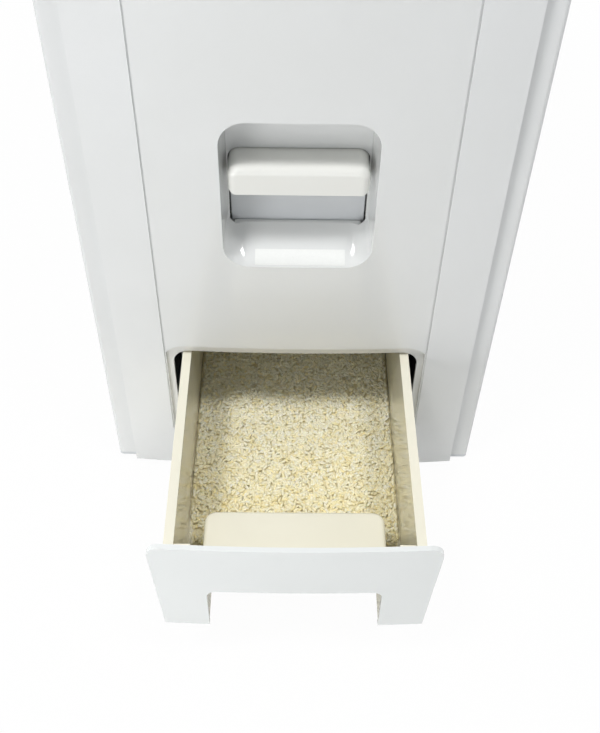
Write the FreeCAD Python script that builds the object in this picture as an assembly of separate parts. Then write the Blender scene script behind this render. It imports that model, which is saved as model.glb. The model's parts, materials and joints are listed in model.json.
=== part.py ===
import FreeCAD, Part
import math
import os
from FreeCAD import Vector as V

os.makedirs("parts", exist_ok=True)

# All lengths are in millimetres. X is to the right seen from the front, Y runs
# from the front to the back, Z is up. The origin lies on the table, under the
# middle of the body. The drawer is modelled pulled out, the lever up, the lid shut.

# Body
body_width = 280.0          # casing, side to side
body_depth = 380.0          # crown of the front to the back of the casing
casing_top = 462.0          # top edge of the casing above the table
casing_wall = 3.0
front_corner_r = 3.0
back_corner_r = 18.0
foot_height = 4.0
foot_radius = 12.0
foot_inset = 32.0           # foot centre in from the casing's sides
base_thickness = 3.0
base_rim_height = 12.0
base_screw_inset = 90.0     # in from the casing's front and back

# Front, gently bowed in plan
bow_radius = 1633.0
frame_width = 251.7
frame_step = 4.5            # the front frame stands this far proud of the casing
skin = 3.0                  # wall of the front frame and centre panel
groove_spacing = 184.9      # between the two thin grooves beside the centre panel
groove_width = 1.2
groove_depth = 1.0
rib = 2.5                   # ribs behind the front pieces

# Lever recess in the centre panel
recess_width = 94.4
recess_bottom = 217.0
recess_top = 325.7
recess_corner_r = 16.5
recess_depth = 25.0
recess_side_draft = 2.9     # how much each side closes in towards the back
recess_ramp = 16.8          # how much the bottom climbs towards the back
recess_top_draft = 2.2
tub_wall = 2.5

# Lever
lever_travel = 30.0
bar_width = 85.9
bar_height = 19.0
bar_front_gap = 4.0         # bar face behind the crown of the front
bar_corner_r = 7.0
bar_edge_r = 5.0
bar_low_corner_r = 5.0
bar_slot_gap = 0.6          # bar to slot, all round
slot_floor_gap = 8.4        # left under the bar when it is fully pressed
carriage_gap = 0.5          # carriage behind the tub's back wall
carriage_thickness = 3.0
carriage_side_gap = 0.9     # carriage plate narrower than the slot, each side
carriage_cover = 34.0       # plate above the bar, hides the slot when pressed
crossbar_height = 10.3
cheek_thickness = 6.0
cheek_centre_x = 63.0
guide_wall = 3.0
guide_gap = 0.4
guide_lip = 3.6
guide_lip_wall = 2.0
guide_height = 82.0
spring_x = 74.0
spring_coil_r = 5.0
spring_wire_r = 0.6
spring_turns = 9
spring_end_gap = 0.3
spring_tab_thickness = 3.0
spring_post_r = 3.2
spring_post_height = 34.0

# Metering drum and its rack drive
gear_module = 1.5
pinion_teeth = 14
gear_play = 0.45            # taken off each tooth, rack and pinion alike
drum_r = 27.5
drum_wall = 2.5
drum_length = 92.0
drum_y = -125.0
drum_z = 177.0
drum_gap = 0.5              # drum to its housing
mouth_width = 35.4          # opening along the drum
shaft_r = 3.0
shaft_length = 140.0
own_fit = 0.05              # clearance between pieces of one moving body
run_gap = 0.3               # clearance between moving bodies
meter_wall = 2.8
meter_flange = 8.0
meter_flange_thickness = 3.0
throat_width = 36.0         # hopper throat and drop hole, front to back
throat_length = 88.0        # the same, side to side
gasket_thickness = 2.0

# Hopper
hopper_wall = 2.4
hopper_waist_z = 340.0
hopper_waist_half_width = 110.0
hopper_waist_front = -148.0
hopper_waist_back = 98.0
hopper_shoulder_z = 400.0
hopper_fit = 0.6
flange_thickness = 2.5

# Top collar and lid
collar_height = 10.0
collar_opening_width = 236.0
collar_opening_depth = 308.0
collar_opening_y = -4.0     # centre of the opening
collar_opening_r = 26.0
lid_overlap = 12.0          # lid beyond the opening, each side
lid_height = 15.0
lid_wall = 2.5
lid_edge_r = 6.0
lid_skirt_depth = 9.0
lid_skirt_gap = 1.5
seal_thickness = 1.7
seal_width = 5.0
grip_width = 70.0
grip_length = 9.0
grip_thickness = 4.0
hinge_x = 78.0              # middle of each hinge
hinge_r = 6.0
hinge_back = 14.0           # hinge axis behind the lid's back edge
hinge_rise = 7.8            # hinge axis above the collar
hinge_lug = 8.0
hinge_tongue = 8.0
hinge_pin_r = 2.0

# Drawer opening
plinth_height = 42.5        # sill of the drawer opening above the base
arch_top = 139.8
arch_overrun = 2.5          # the arch is this much wider than the grooves, each side
arch_r = 17.0
opening_width = 174.6
opening_top = 132.3
opening_r = 12.0
trim_thickness = 2.5
trim_tuck = 4.0             # trim hidden behind the panel and the plinth
window_width = 176.6        # cut-out in the casing's front wall
window_top_margin = 12.0

# Drawer
drawer_out = 162.5          # how far the drawer stands open at rest
drawer_spare = 12.0         # further travel up to the stop
front_thickness = 3.5
front_width = 180.1
front_height = 91.5
front_draft = 3.16           # degrees, each side edge
front_corner_r_top = 8.5
front_edge_r = 1.0
front_sill_gap = 0.6
front_seat_gap = 0.3
notch_width = 111.0
notch_height = 43.1
notch_r = 6.5
box_behind_drum = 19.5      # box reaches this far behind the drum's axis
box_inner_width = 147.8
box_wall = 2.6
box_floor = 2.5
box_corner_r = 8.0
box_height = 83.2           # floor underside to rim
rim_width = 6.15
rim_thickness = 3.0
rim_lip = 8.0
rim_lip_wall = 2.0
pocket_depth = 59.0         # from the face of the drawer front
pocket_wall = 3.9
pocket_side_gap = 0.2
pocket_corner_r = 8.0
glide_thickness = 1.0
glide_width = 12.0
glide_x = 66.0
glide_end_gap = 12.0        # glide strips stop short of the box's ends
drawer_screw_low = 16.0     # above the underside of the box
drawer_screw_high = 60.0
drawer_screw_seat = 5.5     # heads sit this far behind the drawer front's back
drawer_screw_length = 6.8

# Drawer bay and deck
bay_gap = 0.75              # drawer rim to bay wall, each side
bay_wall = 3.0
bay_floor = 3.0
bay_back_gap = 1.3
bay_wall_setback = 14.0     # bay walls start behind the casing face
bay_ribs = 3
bay_rib_inset = 30.0        # first and last rib, in from the bay's ends
deck_z = 137.0              # underside
deck_thickness = 3.0
deck_fit = 0.3
rail_gap = 0.6              # hold-down rail above the drawer rim
rail_width = 4.5
rail_thickness = 3.0
chute_wall = 2.0
chute_drop = 4.0
stop_width = 10.0
stop_thickness = 4.0
stop_x = 58.0
stop_bite = 3.5             # how far the stop hangs below the top of the box

# Screws and label
screw_head_r = 3.5
screw_head_h = 2.0
screw_shank_r = 1.5
screw_length = 12.0
small_screw_length = 7.0
boss_r = 4.0
label_width = 58.0
label_thickness = 0.25
label_front = 1.8           # behind the crown of the front
label_back = 11.5
label_x = 1.7


# ---- places worked out from the sizes ----
crown_y = -body_depth / 2
back_y = body_depth / 2
half_w = body_width / 2


def bow_drop(x):
    return bow_radius - math.sqrt(bow_radius ** 2 - x ** 2)


face_y = crown_y + bow_drop(frame_width / 2) + frame_step     # casing's front face
base_z = foot_height
shell_z = base_z + base_thickness                              # casing starts here
sill_z = base_z + plinth_height
panel_half = groove_spacing / 2 - groove_width / 2
strip_inner = groove_spacing / 2 + groove_width / 2
slot_half = bar_width / 2 + bar_slot_gap
tub_back = recess_depth + tub_wall
carriage_front = tub_back + carriage_gap                       # depths behind the crown
carriage_back = carriage_front + carriage_thickness
slot_bottom = recess_bottom + recess_ramp
bar_bottom = slot_bottom + slot_floor_gap + lever_travel
bar_top = bar_bottom + bar_height
slot_top = bar_top + bar_slot_gap
plate_half = slot_half - carriage_side_gap
plate_bottom = slot_bottom - 1.5
crossbar_bottom = plate_bottom - crossbar_height
pinion_r = gear_module * pinion_teeth / 2
rack_line = drum_y - pinion_r
bore_r = drum_r + drum_gap
meter_r = bore_r + meter_wall
meter_half = drum_length / 2 + drum_gap + meter_wall
deck_top = deck_z + deck_thickness
meter_top = drum_z + meter_r
hopper_z = meter_top + gasket_thickness
flange_top = casing_top + flange_thickness
collar_top = flange_top + collar_height
lid_z = collar_top + run_gap + seal_thickness
front_y = crown_y + skin - front_seat_gap - front_thickness - drawer_out   # drawer crown
front_bottom = sill_z + front_sill_gap
front_top = front_bottom + front_height
bay_top_z = sill_z
glide_z = bay_top_z + run_gap
box_z = glide_z + glide_thickness
box_top = box_z + box_height
box_front_y = front_y + front_thickness
box_back_y = drum_y + box_behind_drum
rim_half = box_inner_width / 2 + rim_width
bay_half = rim_half + bay_gap
bay_back_y = box_back_y + rim_width - box_wall + drawer_out + bay_back_gap
hinge_y = collar_opening_y + collar_opening_depth / 2 + lid_overlap + hinge_back
hinge_z = collar_top + hinge_rise


# ---- shapes used again and again ----
def box(x0, x1, y0, y1, z0, z1):
    return Part.makeBox(x1 - x0, y1 - y0, z1 - z0, V(x0, y0, z0))


def pair(shape):
    return Part.makeCompound([shape, shape.mirror(V(0, 0, 0), V(1, 0, 0))])


def both(shape):
    return shape.fuse(shape.mirror(V(0, 0, 0), V(1, 0, 0)))


def rod_x(r, x0, x1, y, z):
    return Part.makeCylinder(r, x1 - x0, V(x0, y, z), V(1, 0, 0))


def rounded_outline(points):
    """Closed wire through (u, v, radius) corners, in the XY plane."""
    edges = []
    n = len(points)
    starts = []
    for i in range(n):
        p = V(points[i][0], points[i][1], 0)
        r = points[i][2]
        a = V(points[i - 1][0], points[i - 1][1], 0) - p
        b = V(points[(i + 1) % n][0], points[(i + 1) % n][1], 0) - p
        a.normalize()
        b.normalize()
        half = a.getAngle(b) / 2
        if r > 0:
            cut = r / math.tan(half)
            mid_dir = a + b
            mid_dir.normalize()
            centre = p + mid_dir * (r / math.sin(half))
            starts.append((p + a * cut, centre - mid_dir * r, p + b * cut))
        else:
            starts.append((p, None, p))
    for i in range(n):
        a0, am, a1 = starts[i]
        if am is not None:
            edges.append(Part.Arc(a0, am, a1).toShape())
        b0 = starts[(i + 1) % n][0]
        if (b0 - a1).Length > 1e-6:
            edges.append(Part.LineSegment(a1, b0).toShape())
    return Part.Wire(edges)


def plan_prism(x0, x1, y0, y1, z0, z1, r_front, r_back):
    wire = rounded_outline([(x0, y0, r_front), (x1, y0, r_front),
                            (x1, y1, r_back), (x0, y1, r_back)])
    wire.translate(V(0, 0, z0))
    return Part.Face(wire).extrude(V(0, 0, z1 - z0))


def front_prism(points, y0, y1):
    """Outline given as (x, z, radius) and pushed from y0 to y1."""
    wire = rounded_outline(points)
    wire.rotate(V(0, 0, 0), V(1, 0, 0), 90)
    wire.translate(V(0, y0, 0))
    return Part.Face(wire).extrude(V(0, y1 - y0, 0))


def bowed_slab(x0, x1, near, far, z0, z1, crown=None):
    """Slab that follows the bow, between two depths behind a crown line."""
    crown = crown_y if crown is None else crown
    centre = crown + bow_radius

    def at(x, depth):
        r = bow_radius - depth
        return V(x, centre - math.sqrt(r * r - x * x), z0)

    mid = (x0 + x1) / 2
    edges = [Part.Arc(at(x0, near), at(mid, near), at(x1, near)).toShape(),
             Part.LineSegment(at(x1, near), at(x1, far)).toShape(),
             Part.Arc(at(x1, far), at(mid, far), at(x0, far)).toShape(),
             Part.LineSegment(at(x0, far), at(x0, near)).toShape()]
    return Part.Face(Part.Wire(edges)).extrude(V(0, 0, z1 - z0))


def bow_to_plane(x0, x1, near, y1, z0, z1):
    """Block from the bow down to a flat plane at y1."""
    reach = 2 * bow_drop(frame_width / 2) + 4 * frame_step + skin
    block = bowed_slab(x0, x1, near, near + reach, z0, z1)
    return block.common(box(x0 - 1, x1 + 1, crown_y - 1, y1, z0 - 1, z1 + 1))


def edges_where(shape, test):
    return [e for e in shape.Edges if test(e)]


def screw(x, y, z, direction, length):
    head = Part.makeCylinder(screw_head_r, screw_head_h, V(x, y, z), direction)
    shank_at = V(x, y, z) + direction * screw_head_h
    shank = Part.makeCylinder(screw_shank_r, length, shank_at, direction)
    cross = box(x - 2.2, x + 2.2, y - 0.5, y + 0.5, z - 1, z + 1)
    if abs(direction.z) < 0.5:
        cross = box(x - 2.2, x + 2.2, y - 1, y + 1, z - 0.5, z + 0.5)
    return head.fuse(shank).cut(cross)


def screw_hole(x, y, z, direction, length):
    clear = own_fit
    head = Part.makeCylinder(screw_head_r + clear, screw_head_h + clear,
                             V(x, y, z) - direction * clear, direction)
    shank = Part.makeCylinder(screw_shank_r + clear, length + screw_head_h + clear,
                              V(x, y, z), direction)
    return head.fuse(shank)


# ---- housing ----
def casing_block(inset, z0, z1):
    return plan_prism(-half_w + inset, half_w - inset, face_y + inset, back_y - inset,
                      z0, z1, front_corner_r - inset, back_corner_r - inset)


def body_outline(z0, z1):
    """Plan of the whole body: casing plus the bowed front."""
    front = bow_to_plane(-frame_width / 2, frame_width / 2, 0.0, face_y + casing_wall,
                         z0, z1)
    return casing_block(0.0, z0, z1).fuse(front).removeSplitter()


def foot_places():
    """One foot near each corner, and one in the middle under the load."""
    x = half_w - foot_inset
    corners = [(sx * x, y) for sx in (-1, 1)
               for y in (face_y + foot_inset, back_y - foot_inset)]
    return corners + [(0.0, 0.0)]


def make_feet():
    feet = []
    for x, y in foot_places():
        foot = Part.makeCone(foot_radius - 1.0, foot_radius, foot_height, V(x, y, 0))
        feet.append(foot)
    return Part.makeCompound(feet)


def base_screw_places():
    x = half_w - casing_wall - boss_r - 1.5
    return [(sx * x, y) for sx in (-1, 1) for y in (face_y + base_screw_inset, back_y - base_screw_inset)]


def make_base():
    plate = casing_block(0.0, base_z, shell_z)
    outer = casing_block(casing_wall + deck_fit, shell_z, shell_z + base_rim_height)
    inner = casing_block(casing_wall + deck_fit + 2.0, shell_z, shell_z + base_rim_height)
    base = plate.fuse(outer.cut(inner))
    for x, y in base_screw_places():
        base = base.cut(Part.makeCylinder(boss_r + 2.5, base_rim_height + 1, V(x, y, shell_z)))
        base = base.cut(screw_hole(x, y, base_z, V(0, 0, 1), screw_length))
    return base.removeSplitter()


def make_base_screws():
    return Part.makeCompound([screw(x, y, base_z, V(0, 0, 1), screw_length)
                              for x, y in base_screw_places()])


def make_casing():
    shell = casing_block(0.0, shell_z, casing_top).cut(
        casing_block(casing_wall, shell_z - 1, casing_top + 1))
    window = box(-window_width / 2, window_width / 2, face_y - 1, face_y + casing_wall + 1,
                 sill_z - bay_floor, casing_top - window_top_margin)
    shell = shell.cut(window)
    for x, y in base_screw_places():
        side = 1 if x > 0 else -1
        boss = Part.makeCylinder(boss_r, screw_length + 3.0, V(x, y, shell_z))
        x0, x1 = sorted((x, side * (half_w - casing_wall / 2)))
        web = box(x0, x1, y - boss_r / 2, y + boss_r / 2, shell_z, shell_z + screw_length + 3.0)
        shell = shell.fuse(boss.fuse(web))
        shell = shell.cut(Part.makeCylinder(screw_shank_r + own_fit, screw_length + 1.0,
                                            V(x, y, shell_z)))
    return shell.removeSplitter()


def make_front_frame():
    half = frame_width / 2
    strip = bowed_slab(strip_inner, half, 0.0, skin, base_z, casing_top)
    strip = strip.fuse(bow_to_plane(strip_inner, strip_inner + rib, skin / 2, face_y,
                                    base_z, casing_top))
    strip = strip.fuse(bow_to_plane(half - rib, half, skin / 2, face_y, base_z, casing_top))
    tongue = bowed_slab(strip_inner - groove_width + own_fit, strip_inner + rib, groove_depth,
                        skin, base_z, casing_top)
    frame = both(strip.fuse(tongue))
    frame = frame.fuse(bowed_slab(-strip_inner - 1, strip_inner + 1, 0.0, skin, base_z, sill_z))
    lip = bow_to_plane(-bay_half, bay_half, skin / 2, face_y, sill_z - bay_floor, sill_z)
    foot = bow_to_plane(-strip_inner - 1, strip_inner + 1, skin / 2, face_y, base_z,
                        base_z + rib)
    frame = frame.fuse(lip).fuse(foot)
    return frame.common(box(-half, half, crown_y - 1, face_y, 0, casing_top + 1)).removeSplitter()


def arch_outline(half, top, r):
    low = base_z
    return [(-half, low, 0), (half, low, 0), (half, top, r), (-half, top, r)]


def recess_wire(depth, grow):
    t = max(depth, 0.0) / recess_depth
    half = recess_width / 2 - recess_side_draft * t ** 1.5 + grow
    low = recess_bottom + recess_ramp * t ** 1.5 - grow
    high = recess_top - recess_top_draft * t + grow
    r = recess_corner_r * (1 - 0.3 * t) + grow
    wire = rounded_outline([(-half, low, r), (half, low, r), (half, high, r), (-half, high, r)])
    wire.rotate(V(0, 0, 0), V(1, 0, 0), 90)
    wire.translate(V(0, crown_y + depth, 0))
    return wire


def recess_body(grow, last):
    depths = [-2.0, 0.0, recess_depth * 0.33, recess_depth * 0.66, recess_depth]
    body = Part.makeLoft([recess_wire(d, grow) for d in depths], True, False)
    if last > recess_depth:
        cap = Part.Face(recess_wire(recess_depth, grow)).extrude(V(0, last - recess_depth, 0))
        body = body.fuse(cap)
    return body


def slot_prism(y0, y1):
    r_low = 1.0
    return front_prism([(-slot_half, slot_bottom, r_low), (slot_half, slot_bottom, r_low),
                        (slot_half, slot_top, bar_corner_r + bar_slot_gap),
                        (-slot_half, slot_top, bar_corner_r + bar_slot_gap)], y0, y1)


def make_centre_panel():
    panel = bowed_slab(-panel_half, panel_half, 0.0, skin, base_z, casing_top)
    tub = recess_body(tub_wall, tub_back).common(
        bowed_slab(-panel_half, panel_half, skin / 2, tub_back + 5, base_z, casing_top))
    panel = panel.fuse(tub)
    panel = panel.cut(recess_body(0.0, recess_depth))
    panel = panel.cut(slot_prism(crown_y + recess_depth - 2, crown_y + tub_back + 1))
    side = bow_to_plane(panel_half - 2 * rib, panel_half - rib, skin / 2, face_y,
                        arch_top + trim_tuck + own_fit, casing_top)
    panel = panel.fuse(both(side))
    arch = front_prism(arch_outline(groove_spacing / 2 + arch_overrun, arch_top, arch_r),
                       crown_y - 5, face_y + 5)
    return panel.cut(arch).removeSplitter()


def make_opening_trim():
    band = bowed_slab(-strip_inner + 0.3, strip_inner - 0.3, skin, skin + trim_thickness,
                      sill_z - trim_tuck, arch_top + trim_tuck)
    back = bow_to_plane(opening_width / 2 + 1.5, opening_width / 2 + 1.5 + rib,
                        skin + trim_thickness / 2, face_y, sill_z + 1, arch_top)
    band = band.fuse(both(back))
    hole = front_prism(arch_outline(opening_width / 2, opening_top, opening_r),
                       crown_y - 5, face_y + 5)
    band = band.common(box(-strip_inner, strip_inner, crown_y, face_y, 0, casing_top))
    return band.cut(hole).removeSplitter()


def make_label():
    ply = recess_body(-own_fit, recess_depth).cut(
        recess_body(-own_fit - label_thickness, recess_depth))
    spot = front_prism([(label_x - label_width / 2, recess_bottom - 5, 0),
                        (label_x + label_width / 2, recess_bottom - 5, 0),
                        (label_x + label_width / 2, slot_bottom, 0),
                        (label_x - label_width / 2, slot_bottom, 0)],
                       crown_y + label_front, crown_y + label_back)
    return ply.common(spot)


def make_drawer_bay():
    wall_y = face_y + bay_wall_setback
    outer = bay_half + bay_wall
    bay = box(-outer, outer, face_y, bay_back_y + bay_wall, sill_z - bay_floor, sill_z)
    side = box(bay_half, outer, wall_y, bay_back_y + bay_wall, sill_z, deck_z)
    bay = bay.fuse(both(side))
    bay = bay.fuse(box(-outer, outer, bay_back_y, bay_back_y + bay_wall, sill_z, deck_z))
    for i in range(bay_ribs):
        y = face_y + bay_rib_inset + i * (bay_back_y - face_y - 2 * bay_rib_inset) / (bay_ribs - 1)
        bay = bay.fuse(box(-outer, outer, y, y + bay_wall, shell_z, sill_z - bay_floor))
    return bay.removeSplitter()


def make_hold_down_rails():
    z0 = box_top + rail_gap
    y0 = face_y + bay_wall_setback
    bar = box(bay_half - rail_width, bay_half, y0, bay_back_y, z0, z0 + rail_thickness)
    web = box(bay_half - rail_width, bay_half - rail_width + 1.5, y0, bay_back_y,
              z0 + rail_thickness, deck_z)
    return pair(bar.fuse(web))


def deck_screw_places():
    return [(sx * (meter_half - 6.0), drum_y + sy * (meter_r + meter_flange / 2))
            for sx in (-1, 1) for sy in (-1, 1)]


def make_deck():
    inset = casing_wall + deck_fit
    deck = casing_block(inset, deck_z, deck_top)
    hole = box(-throat_length / 2, throat_length / 2, drum_y - throat_width / 2,
               drum_y + throat_width / 2, deck_z - 1, deck_top + 1)
    deck = deck.cut(hole)
    for s in (-1, 1):
        deck = deck.fuse(Part.makeCylinder(spring_post_r, spring_post_height,
                                           V(s * spring_x, spring_y(), deck_top)))
    stop_z = box_top - stop_bite
    y1 = box_back_y - box_wall - drawer_spare - run_gap
    for s in (-1, 1):
        deck = deck.fuse(box(s * stop_x - stop_width / 2, s * stop_x + stop_width / 2,
                             y1 - stop_thickness, y1, stop_z, deck_z))
    return deck.removeSplitter()


def make_drop_chute():
    outer = box(-throat_length / 2 - chute_wall, throat_length / 2 + chute_wall,
                drum_y - throat_width / 2 - chute_wall, drum_y + throat_width / 2 + chute_wall,
                deck_z - chute_drop, deck_z)
    return outer.cut(box(-throat_length / 2, throat_length / 2, drum_y - throat_width / 2,
                         drum_y + throat_width / 2, deck_z - chute_drop - 1, deck_z + 1))


# ---- metering unit ----
def meter_shell():
    body = rod_x(meter_r, -meter_half, meter_half, drum_y, drum_z)
    neck = throat_width / 2 + meter_wall
    body = body.fuse(box(-meter_half, meter_half, drum_y - neck, drum_y + neck,
                         deck_top, meter_top))
    reach = meter_r + meter_flange
    for z in (deck_top, drum_z - meter_flange_thickness, drum_z):
        body = body.fuse(box(-meter_half, meter_half, drum_y - reach, drum_y + reach,
                             z, z + meter_flange_thickness))
    for s in (-1, 1):
        body = body.fuse(box(-meter_half, meter_half,
                             drum_y + s * reach - (meter_wall if s > 0 else 0),
                             drum_y + s * reach + (meter_wall if s < 0 else 0),
                             deck_top, drum_z))
    body = body.cut(rod_x(bore_r, -meter_half + meter_wall, meter_half - meter_wall,
                          drum_y, drum_z))
    body = body.cut(rod_x(shaft_r + run_gap, -meter_half - 1, meter_half + 1, drum_y, drum_z))
    slot = box(-throat_length / 2, throat_length / 2, drum_y - throat_width / 2,
               drum_y + throat_width / 2, deck_top - 1, meter_top + 1)
    body = body.cut(slot)
    for x, y in deck_screw_places():
        body = body.cut(Part.makeCylinder(screw_shank_r + own_fit, small_screw_length + 1.0,
                                          V(x, y, drum_z + meter_flange_thickness),
                                          V(0, 0, -1)))
    return body


def half_space(z0, z1):
    reach = meter_r + meter_flange + 5
    return box(-meter_half - 5, meter_half + 5, drum_y - reach, drum_y + reach, z0, z1)


def make_meter_lower():
    return meter_shell().common(half_space(deck_top - 1, drum_z)).removeSplitter()


def make_meter_upper():
    return meter_shell().common(half_space(drum_z, meter_top + 1)).removeSplitter()


def make_meter_screws():
    return Part.makeCompound([
        screw(x, y, drum_z + meter_flange_thickness + screw_head_h, V(0, 0, -1),
              small_screw_length) for x, y in deck_screw_places()])


def make_throat_gasket():
    rim = hopper_wall + 0.6
    outer = box(-throat_length / 2 - rim, throat_length / 2 + rim,
                drum_y - throat_width / 2 - rim, drum_y + throat_width / 2 + rim,
                meter_top, hopper_z)
    return outer.cut(box(-throat_length / 2, throat_length / 2, drum_y - throat_width / 2,
                         drum_y + throat_width / 2, meter_top - 1, hopper_z + 1))


def gear_tooth_angle(r, base_r, half_at_pitch):
    def inv(a):
        return math.tan(a) - a
    if r < base_r:
        r = base_r
    return half_at_pitch + inv(math.acos(base_r / pinion_r)) - inv(math.acos(base_r / r))


def pinion_face(x):
    """Involute pinion in the plane at x, with a gap facing the rack."""
    base_r = pinion_r * math.cos(math.radians(20))
    tip = pinion_r + gear_module
    root = pinion_r - 1.25 * gear_module
    half = (math.pi * gear_module / 2 - gear_play) / 2 / pinion_r
    radii = [root, base_r, pinion_r, (pinion_r + tip) / 2, tip]
    pts = []
    for k in range(pinion_teeth):
        mid = math.pi + (k + 0.5) * 2 * math.pi / pinion_teeth
        flank = [(r, gear_tooth_angle(r, base_r, half)) for r in radii]
        for r, a in flank:
            pts.append((r, mid - a))
        for r, a in reversed(flank):
            pts.append((r, mid + a))
    vs = [V(x, drum_y + r * math.cos(a), drum_z + r * math.sin(a)) for r, a in pts]
    return Part.Face(Part.makePolygon(vs + [vs[0]]))


def make_drum_pinions():
    x0 = cheek_centre_x - cheek_thickness / 2
    gear = pinion_face(x0).extrude(V(cheek_thickness, 0, 0))
    hub = rod_x(shaft_r + 3.0, meter_half + run_gap, x0, drum_y, drum_z)
    gear = gear.fuse(hub)
    gear = gear.cut(rod_x(shaft_r + own_fit, meter_half - 1, x0 + 2 * cheek_thickness,
                          drum_y, drum_z))
    return pair(gear.removeSplitter())


def make_drum():
    half = drum_length / 2
    drum = rod_x(drum_r, -half, half, drum_y, drum_z)
    drum = drum.cut(rod_x(drum_r - drum_wall, -half + drum_wall, half - drum_wall,
                          drum_y, drum_z))
    drum = drum.cut(box(-half + drum_wall, half - drum_wall, drum_y - mouth_width / 2,
                        drum_y + mouth_width / 2, drum_z, drum_z + drum_r + 1))
    sleeve = rod_x(shaft_r + drum_wall, -half, half, drum_y, drum_z)
    drum = drum.fuse(sleeve)
    return drum.cut(rod_x(shaft_r + own_fit, -half - 1, half + 1, drum_y, drum_z))


def make_shaft():
    shaft = rod_x(shaft_r, -shaft_length / 2, shaft_length / 2, drum_y, drum_z)
    ends = edges_where(shaft, lambda e: e.BoundBox.XLength < 0.01)
    return shaft.makeChamfer(0.5, ends)


# ---- hopper ----
def hopper_solid(inset):
    """Outside of the hopper when inset is 0, inside when it is the wall."""
    grow = hopper_wall - inset
    throat = [-throat_length / 2 - grow, throat_length / 2 + grow,
              drum_y - throat_width / 2 - grow, drum_y + throat_width / 2 + grow]
    waist = [-hopper_waist_half_width - grow, hopper_waist_half_width + grow,
             hopper_waist_front - grow, hopper_waist_back + grow]
    fit = casing_wall + hopper_fit + inset
    top = [-half_w + fit, half_w - fit, face_y + fit, back_y - fit]

    def ring(r, z, corner, back=None):
        back = corner if back is None else back
        wire = rounded_outline([(r[0], r[2], corner), (r[1], r[2], corner),
                                (r[1], r[3], back), (r[0], r[3], back)])
        wire.translate(V(0, 0, z))
        return wire

    dip = 1.0 if inset > 0 else 0.0
    low = ring(throat, hopper_z - dip, 2.0)
    neck = ring(throat, hopper_z + 6.0, 2.0)
    front = max(front_corner_r - fit, 2.0)
    back = max(back_corner_r - fit, 2.0)
    middle = ring(waist, hopper_waist_z, front, back)
    shoulder = ring(top, hopper_shoulder_z, front, back)
    body = Part.makeLoft([low, neck], True, True)
    body = body.fuse(Part.makeLoft([neck, middle], True, True))
    body = body.fuse(Part.makeLoft([middle, shoulder], True, True))
    body = body.fuse(Part.makeLoft([shoulder, ring(top, flange_top + dip, front, back)],
                                   True, True))
    return body


def make_hopper():
    flange = casing_block(0.0, casing_top, flange_top)
    hopper = hopper_solid(0.0).fuse(flange)
    return hopper.cut(hopper_solid(hopper_wall)).removeSplitter()


# ---- collar and lid ----
def opening_prism(grow, z0, z1):
    hx = collar_opening_width / 2 + grow
    hy = collar_opening_depth / 2 + grow
    r = max(collar_opening_r + grow, 2.0)
    return plan_prism(-hx, hx, collar_opening_y - hy, collar_opening_y + hy, z0, z1, r, r)


def make_collar():
    collar = body_outline(flange_top, collar_top)
    top_edges = edges_where(collar, lambda e: e.BoundBox.ZMin > collar_top - 0.01)
    collar = collar.makeFillet(2.5, top_edges)
    collar = collar.cut(opening_prism(0.0, flange_top - 1, collar_top + 1))
    front = bow_to_plane(-frame_width / 2, frame_width / 2, 0.0, face_y, casing_top,
                         flange_top)
    collar = collar.fuse(front)
    lug_in = hinge_tongue / 2 + run_gap
    for s in (-1, 1):
        for side in (-1, 1):
            a = s * hinge_x + side * lug_in
            x0, x1 = sorted((a, a + side * hinge_lug))
            lug = rod_x(hinge_r, x0, x1, hinge_y, hinge_z)
            lug = lug.fuse(box(x0, x1, hinge_y - hinge_r, hinge_y + hinge_r,
                               collar_top - 1, hinge_z))
            collar = collar.fuse(lug)
    collar = collar.cut(rod_x(hinge_pin_r + own_fit, -body_width, body_width,
                              hinge_y, hinge_z))
    return collar.removeSplitter()


def make_hinge_pins():
    reach = hinge_tongue / 2 + run_gap + hinge_lug
    return pair(rod_x(hinge_pin_r, hinge_x - reach, hinge_x + reach, hinge_y, hinge_z))


def make_lid():
    outer = opening_prism(lid_overlap, lid_z, lid_z + lid_height)
    top_edges = edges_where(outer, lambda e: e.BoundBox.ZMin > lid_z + lid_height - 0.01)
    outer = outer.makeFillet(lid_edge_r, top_edges)
    hollow = opening_prism(lid_overlap - lid_wall, lid_z - 1, lid_z + lid_height - lid_wall)
    hollow_top = edges_where(
        hollow, lambda e: e.BoundBox.ZMin > lid_z + lid_height - lid_wall - 0.01)
    hollow = hollow.makeFillet(lid_edge_r - lid_wall, hollow_top)
    lid = outer.cut(hollow)
    rim = opening_prism(lid_overlap - lid_wall / 2, lid_z, lid_z + lid_wall)
    rim = rim.cut(opening_prism(-lid_skirt_gap - lid_wall, lid_z - 1, lid_z + lid_wall + 1))
    lid = lid.fuse(rim)
    skirt_top = lid_z + lid_wall
    skirt = opening_prism(-lid_skirt_gap, lid_z - lid_skirt_depth, skirt_top)
    skirt = skirt.cut(opening_prism(-lid_skirt_gap - lid_wall, lid_z - lid_skirt_depth - 1,
                                    skirt_top + 1))
    lid = lid.fuse(skirt)
    front_edge = collar_opening_y - collar_opening_depth / 2 - lid_overlap
    grip = plan_prism(-grip_width / 2, grip_width / 2, front_edge - grip_length,
                      front_edge + lid_wall, lid_z, lid_z + grip_thickness, 5.0, 0.0)
    lid = lid.fuse(grip)
    back_edge = collar_opening_y + collar_opening_depth / 2 + lid_overlap
    for s in (-1, 1):
        x0, x1 = s * hinge_x - hinge_tongue / 2, s * hinge_x + hinge_tongue / 2
        arm = box(x0, x1, back_edge - lid_wall / 2, hinge_y, hinge_z - 3.0, hinge_z + 3.0)
        lid = lid.fuse(arm).fuse(rod_x(hinge_r, x0, x1, hinge_y, hinge_z))
    lid = lid.cut(rod_x(hinge_pin_r + run_gap, -body_width, body_width, hinge_y, hinge_z))
    return lid.removeSplitter()


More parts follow.
